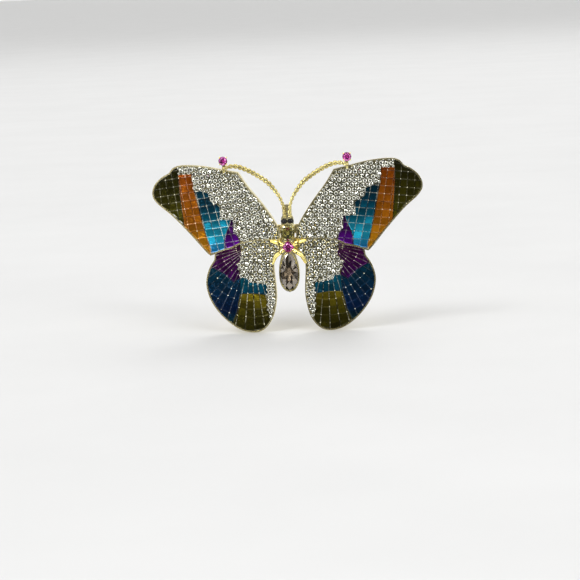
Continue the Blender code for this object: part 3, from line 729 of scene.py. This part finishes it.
def make_bed(name, packed, bed, matrix):
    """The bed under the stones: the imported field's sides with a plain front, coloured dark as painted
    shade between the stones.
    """
    peaks = [vert for vert in packed.verts if vert.co.z > bed + 0.01]
    bmesh.ops.delete(packed, geom=peaks, context="VERTS")
    holes = [edge for edge in packed.edges if edge.is_boundary]
    bmesh.ops.holes_fill(packed, edges=holes, sides=0)
    bmesh.ops.recalc_face_normals(packed, faces=packed.faces)
    piece(name + "_bed", packed, ("bed",), matrix=matrix)


# ---- rods, ropes and turned parts

FORWARD = UP                 # c is the third axis of every plane, as height is the world's


def smooth_path(points, steps):
    """A smooth curve through tuples of any length; the first and last points are its ends."""
    points = [Vector(point) for point in points]
    padded = [2.0 * points[0] - points[1]] + points + [2.0 * points[-1] - points[-2]]
    path = []
    for before, start, end, after in zip(padded, padded[1:], padded[2:], padded[3:]):
        for step in range(steps):
            t = step / steps
            path.append(0.5 * (2.0 * start + (end - before) * t
                               + (2.0 * before - 5.0 * start + 4.0 * end - after) * t * t
                               + (3.0 * start - before - 3.0 * end + after) * t ** 3))
    return path + [points[-1]]


def tube(work, path, radii, sides=8, reference=FORWARD, closed=False):
    """Add a round tube along a path, with one radius for each point."""
    count = len(path)
    rings = []
    for index, (point, radius) in enumerate(zip(path, radii)):
        ahead = path[(index + 1) % count] if closed else path[min(index + 1, count - 1)]
        behind = path[index - 1] if closed else path[max(index - 1, 0)]
        along = (ahead - behind).normalized()
        across = along.cross(reference).normalized()
        over = across.cross(along)
        rings.append([work.verts.new(point + radius * (math.cos(TURN * side / sides) * across
                                                       + math.sin(TURN * side / sides) * over))
                      for side in range(sides)])
    pairs = list(zip(rings, rings[1:])) + ([(rings[-1], rings[0])] if closed else [])
    for low, high in pairs:
        for side in range(sides):
            work.faces.new((low[side - 1], low[side], high[side], high[side - 1]))
    if not closed:
        work.faces.new(rings[0])
        work.faces.new(rings[-1])


def rope(work, path, radii, pitch):
    """Add two strands twisted round a path."""
    travelled = [0.0]
    for start, end in zip(path, path[1:]):
        travelled.append(travelled[-1] + (end - start).length)
    for phase in (0.0, math.pi):
        strand = []
        for index, (point, radius, length) in enumerate(zip(path, radii, travelled)):
            ahead = path[min(index + 1, len(path) - 1)]
            behind = path[max(index - 1, 0)]
            across = (ahead - behind).cross(FORWARD).normalized()
            angle = TURN * length / pitch + phase
            strand.append(point + 0.62 * radius * math.cos(angle) * across
                          + 0.42 * radius * math.sin(angle) * FORWARD)
        tube(work, strand, [0.56 * radius for radius in radii], sides=10)


def claw(work, point, centre, steps, radii):
    """Add a claw beside a stone that bends over its edge; steps are how far out and how far forward."""
    out = (point - centre).normalized()
    path = smooth_path([(*(point + reach * out), forward) for reach, forward in steps], 4)
    tube(work, path, radii)


def bead(work, centre, radius, stretch=(1.0, 1.0, 1.0), u_segments=16, v_segments=10):
    """Add a ball, perhaps stretched."""
    matrix = Matrix.Translation(centre) @ Matrix.Diagonal((*stretch, 1.0))
    bmesh.ops.create_uvsphere(work, u_segments=u_segments, v_segments=v_segments, radius=radius,
                              matrix=matrix)


def soften(profile, size, closed):
    """Round a profile's corners."""
    points = [Vector(point) for point in profile]
    count = len(points)
    soft = []
    for index, corner in enumerate(points):
        if not closed and index in (0, count - 1):
            soft.append(corner)
            continue
        before = points[index - 1] - corner
        after = points[(index + 1) % count] - corner
        start = corner + before.normalized() * min(size, 0.35 * before.length)
        end = corner + after.normalized() * min(size, 0.35 * after.length)
        for t in (0.0, 0.33, 0.67, 1.0):
            soft.append(start * (1 - t) ** 2 + corner * (2 * t * (1 - t)) + end * t ** 2)
    return soft


def lathe(profile, axis_x, closed, steps=72, ridges=0, ridge_depth=0.0):
    """A turned shape about an axis along Y, perhaps with ridges round its rim."""
    work = bmesh.new()
    widest = max(point[0] for point in profile)
    rows = []
    for radius, depth in profile:
        if radius < 0.001:
            rows.append([work.verts.new((axis_x, depth, 0.0))] * steps)
            continue
        row = []
        for step in range(steps):
            angle = TURN * step / steps
            dip = ridge_depth * (0.5 - 0.5 * math.cos(ridges * angle)) if radius > widest - 0.02 else 0.0
            row.append(work.verts.new((axis_x + (radius - dip) * math.cos(angle), depth,
                                       (radius - dip) * math.sin(angle))))
        rows.append(row)
    for low, high in list(zip(rows, rows[1:])) + ([(rows[-1], rows[0])] if closed else []):
        for step in range(steps):
            corners = []
            for vert in (low[step - 1], low[step], high[step], high[step - 1]):
                if vert not in corners:
                    corners.append(vert)
            if len(corners) > 2:
                work.faces.new(corners)
    return work


# ---- body

def hull(points):
    """The convex outline of points in a plane, counter-clockwise."""
    points = sorted({(round(x, 4), round(y, 4)) for x, y in points})
    halves = []
    for run in (points, points[::-1]):
        half = []
        for point in run:
            while len(half) > 1 and ((half[-1][0] - half[-2][0]) * (point[1] - half[-2][1])
                                     - (half[-1][1] - half[-2][1]) * (point[0] - half[-2][0])) <= 0:
                half.pop()
            half.append(point)
        halves += half[:-1]
    return [Vector(point) for point in halves]


def even_points(outline, count):
    """A closed outline resampled at equal steps, from its highest point."""
    start = max(range(len(outline)), key=lambda index: outline[index].y - 0.01 * abs(outline[index].x))
    outline = outline[start:] + outline[:start + 1]
    total = sum((end - begin).length for begin, end in zip(outline, outline[1:]))
    even = []
    travelled = 0.0
    for begin, end in zip(outline, outline[1:]):
        length = (end - begin).length
        while len(even) < count and len(even) * total / count <= travelled + length:
            even.append(begin.lerp(end, (len(even) * total / count - travelled) / length))
        travelled += length
    return even


def node_outline(name, matrix, count):
    """A CAD node's outline seen from the front."""
    inverse = matrix.inverted()
    points = [(inverse @ vert.co).xy for vert in NODES[name].data.vertices]
    return even_points(hull([tuple(point) for point in points]), count)


# each body stone: facets round it, its girdle's height, crown and pavilion, and its table's share
BODY_STONES = {
    "thorax": (16, 1.25, 0.4, 0.9, 0.8, "olive"),
    "waist": (16, 1.25, 0.45, 0.9, 0.58, "magenta"),
    "abdomen": (20, 1.3, 0.85, 1.1, 0.5, "smoky"),
}
CLAWS = {"thorax": (2, 6, 10, 14), "waist": (2, 6, 10, 14), "abdomen": (3, 8, 12, 17)}
CLAW_STEPS = ((0.16, 0.95), (0.1, 1.3), (-0.12, 1.52))
CLAW_RADII = [0.17] * 5 + [0.16, 0.15, 0.13, 0.08]
BEZEL_OUT = 0.14             # from the stone's girdle to the middle of its rolled bezel
BEZEL_FORWARD = 1.08
BEZEL_RADIUS = 0.09
BEZEL_STEPS = 48


def make_body_stones():
    """The three body stones, each in a rolled bezel with four claws."""
    matrix = plane(0)
    for name, (count, girdle, crown, pavilion, table, look) in BODY_STONES.items():
        outline = node_outline(name + "_stone", matrix, count)
        chance = random.Random(name)
        work = bmesh.new()
        facet_stone(work, outline, girdle, crown, pavilion, chance.random, table)
        glass = "smoky_glass" if look == "smoky" else look + "_glass"
        piece(name + "_cut", work, (glass, look + "_foil"), replaces=(name + "_stone",),
              matrix=matrix, smooth_angle=None)
        setting = bmesh.new()
        centre = sum(outline, Vector((0.0, 0.0))) / count
        ring = [Vector((*(point + BEZEL_OUT * (point - centre).normalized()), BEZEL_FORWARD))
                for point in even_points(outline, BEZEL_STEPS)]
        tube(setting, ring, [BEZEL_RADIUS] * len(ring), closed=True)
        for index in CLAWS[name]:
            claw(setting, outline[index], centre, CLAW_STEPS, CLAW_RADII)
        piece(name + "_bezel", setting, ("aged_gold",), matrix=matrix, smooth_angle=50.0)


# the waist's four arms: points (a, b, c) and the radius there
WAIST_ARMS = (
    ((1.0, 0.0, 0.95, 0.34), (1.7, 0.35, 0.98, 0.5), (2.5, 0.65, 0.85, 0.52), (3.7, 0.9, 0.55, 0.3)),
    ((1.0, -1.0, 0.95, 0.34), (1.8, -1.6, 0.9, 0.5), (2.8, -2.4, 0.6, 0.46), (3.6, -4.0, 0.3, 0.3)),
)
EYE_PLACE = (0.72, 5.22, 0.53)
EYE_RADIUS = 0.62
EYE_STRETCH = (1.16, 0.98, 1.0)


def make_waist_arms():
    """Four rounded arms that reach from the waist stone over the wings."""
    for side, tag in SIDES:
        work = bmesh.new()
        for arm in WAIST_ARMS:
            path = smooth_path([(side * a, b, c, radius) for a, b, c, radius in arm], 6)
            radii = [point[3] for point in path]
            tube(work, [Vector(point[:3]) for point in path], radii, sides=14)
            bead(work, Vector(path[-1][:3]), radii[-1])
        piece(f"waist_arms_{tag}", work, ("bright_gold",), matrix=plane(0), smooth_angle=50.0)


def make_eyes():
    """Two black glass beads, oval and side by side."""
    for side, tag in SIDES:
        centre = Vector((side * EYE_PLACE[0], *EYE_PLACE[1:]))
        work = bmesh.new()
        bead(work, centre, EYE_RADIUS, EYE_STRETCH, u_segments=24, v_segments=14)
        bmesh.ops.bisect_plane(work, geom=work.verts[:] + work.edges[:] + work.faces[:],
                               plane_co=centre, plane_no=(0.0, 0.0, -1.0), clear_outer=True)
        bmesh.ops.holes_fill(work, edges=[edge for edge in work.edges if edge.is_boundary])
        piece(f"eye_{tag}_bead", work, ("black",), replaces=(f"eye_{tag}",),
              matrix=plane(0))


# ---- antennae

ANTENNA_FORWARD = 0.92
ANTENNA_RADIUS = 0.5
ANTENNA_PATH = (             # (a, b) and the share of the full radius
    (0.5, 6.1, 0.66), (0.52, 7.4, 0.66), (0.8, 9.1, 0.66), (1.45, 10.7, 0.75), (2.6, 12.4, 0.9),
    (3.9, 13.9, 1.0), (5.6, 15.15, 1.0), (7.5, 16.3, 1.0), (9.7, 17.3, 1.0), (11.5, 17.65, 0.9),
    (13.4, 17.3, 0.75),
)
ROPE_PITCH = 2.1
STEM = (13.5, 16.2, 18.3)    # a, and b at its ends
STEM_RADII = (0.2, 0.34, 0.3, 0.42)
KNOT = (17.3, 0.42)          # b and radius of the ball where the rope meets the stem
FOOT = 16.62                 # b of the short rod that joins the stem to the wing
TIP = 18.9
TIP_RADIUS = 1.0
TIP_GIRDLE = 0.7             # how far the tip stone's girdle stands in front of the antenna
TIP_CLAW_STEPS = ((-0.25, 1.05), (0.08, 1.4), (-0.1, 1.78))
TIP_CLAW_RADII = [0.16] * 7 + [0.14, 0.08]


def make_antenna(side, tag):
    """A twisted rope with an upright stem, cup and claws that hold a round stone."""
    matrix = plane(side)
    path = smooth_path([(side * a, b, ANTENNA_FORWARD, share) for a, b, share in ANTENNA_PATH], 12)
    work = bmesh.new()
    rope(work, [Vector(point[:3]) for point in path], [ANTENNA_RADIUS * point[3] for point in path],
         ROPE_PITCH)
    across, low, high = STEM
    across *= side
    stem = [Vector((across, b, ANTENNA_FORWARD)) for b in (low, low + 0.3, high - 0.8, high)]
    tube(work, stem, STEM_RADII, sides=12)
    tube(work, [Vector((across, FOOT, c)) for c in (0.02, 0.5, 0.92)], (0.22, 0.2, 0.2), sides=12,
         reference=Vector((1.0, 0.0, 0.0)))
    bead(work, Vector((across, KNOT[0], ANTENNA_FORWARD)), KNOT[1])
    tube(work, [Vector((across, TIP, ANTENNA_FORWARD + c)) for c in (-0.35, -0.3, 0.1, 0.24)],
         (0.6, 0.72, 0.8, 0.84), sides=24, reference=Vector((1.0, 0.0, 0.0)))
    piece(f"antenna_{tag}_rope", work, ("aged_gold",), replaces=(f"antenna_{tag}",), matrix=matrix,
          smooth_angle=50.0)

    chance = random.Random(5)
    stone = bmesh.new()
    facet_stone(stone, circle((across, TIP), TIP_RADIUS, 16), ANTENNA_FORWARD + TIP_GIRDLE, 0.42, 0.4,
                chance.random, 0.56)
    piece(f"antenna_stone_{tag}_cut", stone, ("magenta_glass", "magenta_foil"),
          replaces=(f"antenna_stone_{tag}",), matrix=matrix, smooth_angle=None)
    claws = bmesh.new()
    for point in circle((across, TIP), TIP_RADIUS, 4, 0.25 * math.pi):
        claw(claws, point, Vector((across, TIP)), TIP_CLAW_STEPS, TIP_CLAW_RADII)
    piece(f"antenna_claws_{tag}", claws, ("bright_gold",), matrix=matrix, smooth_angle=50.0)


# ---- posts and clutches

POST_X = 13.0
SPRING_TURNS = 4
SPRING_STEPS = 28            # points in each turn
SPRING_WIRE = 0.15
KNOB_GRIP = (11.5, 12.35)    # y of the knob's grooved band
GRIP_GROOVES = 45

# profiles as (radius, y), closed rings apart from the post, which starts and ends on its axis
POST_PROFILE = ((0.0, -1.0), (0.6, -1.0), (0.6, 7.9), (0.52, 8.1), (0.52, 8.5), (0.6, 8.7), (0.56, 9.5),
                (0.12, 11.4), (0.0, 11.5))
PLATE_PROFILE = ((0.85, 4.5), (4.55, 4.5), (4.55, 5.0), (2.6, 5.0), (2.6, 7.5), (2.2, 7.5), (1.05, 5.2),
                 (0.85, 5.2))
HOUSING_PROFILE = ((4.6, 4.62), (4.95, 4.62), (4.95, 5.2), (4.6, 5.8), (3.6, 7.1), (3.1, 8.9),
                   (3.0, 10.5), (2.7, 10.8), (1.4, 10.8), (1.4, 10.45), (2.65, 10.45), (2.75, 8.9),
                   (3.25, 7.0), (4.25, 5.65), (4.6, 5.15))


def make_turned(name, side, body, profile, closed, corner):
    """A turned part with rounded corners."""
    work = lathe(soften(profile, corner, closed), side * POST_X, closed)
    piece(name + "_turned", work, ("gold",), body=body, replaces=(name,))


def make_clutch(side, tag):
    """One post with its locking clutch: plate, housing, chuck, grooved knob, balls and spring."""
    clutch = f"clutch_{tag}"
    knob = f"knob_{tag}"
    make_turned(f"tack_post_{tag}", side, "root", POST_PROFILE, False, 0.05)
    make_turned(f"clutch_front_plate_{tag}", side, clutch, PLATE_PROFILE, True, 0.08)
    make_turned(f"clutch_housing_{tag}", side, clutch, HOUSING_PROFILE, True, 0.5)
    chuck = piece(f"clutch_chuck_{tag}_cast", node_mesh(f"clutch_chuck_{tag}"), ("gold",), body=knob,
                  replaces=(f"clutch_chuck_{tag}",))
    round_edges(chuck, 0.05, 2)
    low, high = KNOB_GRIP
    band = [(2.3, low), (2.44, low), (2.52, low + 0.08), (2.52, high - 0.08), (2.44, high), (2.3, high)]
    grip = lathe(band, side * POST_X, True, 4 * GRIP_GROOVES, GRIP_GROOVES, 0.08)
    piece(f"knob_grip_{tag}", grip, ("gold",), body=knob)
    for number in (1, 2, 3):
        name = f"clutch_ball_{tag}_{number}"
        low, high = (Vector(corner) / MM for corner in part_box(name))
        work = bmesh.new()
        bead(work, (low + high) / 2.0, (high.y - low.y) / 2.0, u_segments=24, v_segments=16)
        piece(name + "_round", work, ("steel",), body=knob, replaces=(name,))

    name = f"clutch_spring_{tag}"
    low, high = (Vector(corner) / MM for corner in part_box(name))
    radius = (high.z - low.z) / 2.0 - SPRING_WIRE
    count = SPRING_STEPS * SPRING_TURNS
    coil = []
    for step in range(count + 1):
        angle = TURN * SPRING_TURNS * step / count
        depth = low.y + SPRING_WIRE + (high.y - low.y - 2.0 * SPRING_WIRE) * step / count
        coil.append(Vector((side * POST_X + radius * math.cos(angle), depth, radius * math.sin(angle))))
    work = bmesh.new()
    tube(work, coil, [SPRING_WIRE] * len(coil), reference=Vector((0.0, 1.0, 0.0)))
    spring = piece(name + "_coil", work, ("steel",), body=clutch, replaces=(name,))
    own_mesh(spring)


# ---- floor, light and camera

FLOOR_SIZE = 20.0
FLOOR_BELOW = 0.0001         # metres from the lowest point to the floor
PANELS = 7.0                 # how often the soft panels repeat round the brooch
PANEL_BRIGHT = 2.1
PANEL_GAP = 0.10             # brightness between two panels
FRONT_GAP = 0.10             # brightness straight in front
PLAIN_SKY = 0.85             # brightness behind
PANEL_EDGE = (-0.45, 0.1)    # where a panel's soft edge starts and ends on its wave
FRONT_EDGE = (-0.90, -0.72)  # and the front gap's and the sky's, on a direction's y
SKY_EDGE = (-0.1, 0.25)
LIGHTS = {                   # place and size in metres, and power in watts
    "key": ((-1.0, -1.3, 1.6), 0.7, 14.0),
    "fill": ((1.4, -1.4, 0.7), 0.9, 8.0),
    "spark_left": ((-0.5, -1.8, 0.25), 0.10, 3.0),
    "spark_right": ((0.75, -1.5, 1.0), 0.12, 3.5),
    "back": ((0.3, 1.6, 1.7), 1.1, 12.0),
}


def make_floor():
    """A plain pale floor just under the lowest point."""
    low = cad_bounds[0][2]
    work = bmesh.new()
    bmesh.ops.create_grid(work, x_segments=8, y_segments=8, size=FLOOR_SIZE)
    floor = new_object("floor", new_mesh("floor", work, [floor_material()]))
    floor.location = (0.0, 0.0, low - FLOOR_BELOW)
    floor.visible_glossy = False


def make_light(name, place, size, power):
    """A square soft light that points at the brooch."""
    data = bpy.data.lights.new(name, "AREA")
    data.size = size
    data.energy = power
    light = new_object(name, data)
    light.location = place
    light.rotation_euler = Vector(place).to_track_quat("Z", "Y").to_euler()


def make_world():
    """Studio surroundings: tall soft panels at the sides, a dim gap in front and a plain sky behind."""
    world = bpy.data.worlds.new("studio")
    nodes = Nodes(world)
    parts = nodes.node("ShaderNodeSeparateXYZ")
    nodes.put(nodes.node("ShaderNodeTexCoord").outputs["Generated"], parts.inputs["Vector"])
    angle = nodes.math("ARCTAN2", parts.outputs["Z"], parts.outputs["X"])
    wave = nodes.math("SINE", nodes.math("MULTIPLY", angle, PANELS))
    panels = nodes.span(wave, *PANEL_EDGE, PANEL_GAP, PANEL_BRIGHT, "SMOOTHSTEP")
    behind = nodes.span(parts.outputs["Y"], *SKY_EDGE, interpolation="SMOOTHSTEP")
    beside = nodes.span(parts.outputs["Y"], *FRONT_EDGE, interpolation="SMOOTHSTEP")
    mixed = nodes.math("ADD", nodes.math("MULTIPLY", panels, nodes.math("SUBTRACT", 1.0, behind)),
                      nodes.math("MULTIPLY", behind, PLAIN_SKY))
    front = nodes.math("MULTIPLY", nodes.math("SUBTRACT", 1.0, beside), FRONT_GAP)
    strength = nodes.math("ADD", nodes.math("MULTIPLY", mixed, beside), front)
    background = nodes.tree.nodes["Background"]
    nodes.put((1.0, 1.0, 0.99), background.inputs["Color"])
    nodes.put(strength, background.inputs["Strength"])
    bpy.context.scene.world = world


def make_camera():
    """The camera: a long lens a little above the brooch and to its right, slightly rolled."""
    data = bpy.data.cameras.new("camera")
    data.lens = LENS
    data.sensor_width = SENSOR
    data.clip_start = 0.01
    camera = new_object("camera", data)
    look = Vector((-math.sin(CAMERA_YAW) * math.cos(CAMERA_PITCH),
                   math.cos(CAMERA_YAW) * math.cos(CAMERA_PITCH), -math.sin(CAMERA_PITCH)))
    level_right = look.cross(UP).normalized()
    level_up = level_right.cross(look)
    up = level_up * math.cos(CAMERA_ROLL) + level_right * math.sin(CAMERA_ROLL)
    right = level_right * math.cos(CAMERA_ROLL) - level_up * math.sin(CAMERA_ROLL)
    waist = Vector((0.0, FRONT_AT_AXIS, WAIST_Z)) * MM
    aim = waist - up * WAIST_UP * MM + right * WAIST_LEFT * MM
    place = aim - look * (PICTURE_WIDTH * MM * LENS / SENSOR)
    camera.matrix_world = Matrix.Translation(place) @ Matrix((right, up, -look)).transposed().to_4x4()
    bpy.context.scene.camera = camera


make_castings()
for side, tag in SIDES:
    for enamel_name in ENAMELS:
        make_enamel(f"{enamel_name}_enamel_{tag}", enamel_name, side)
    for field in ("forewing_crystals", "hindwing_crystals"):
        make_crystals(f"{field}_{tag}")
    make_antenna(side, tag)
    make_clutch(side, tag)
make_body_stones()
make_waist_arms()
make_eyes()
make_floor()
make_world()
for light_name, light in LIGHTS.items():
    make_light(light_name, *light)
make_camera()
bpy.context.scene.view_settings.view_transform = "Standard"
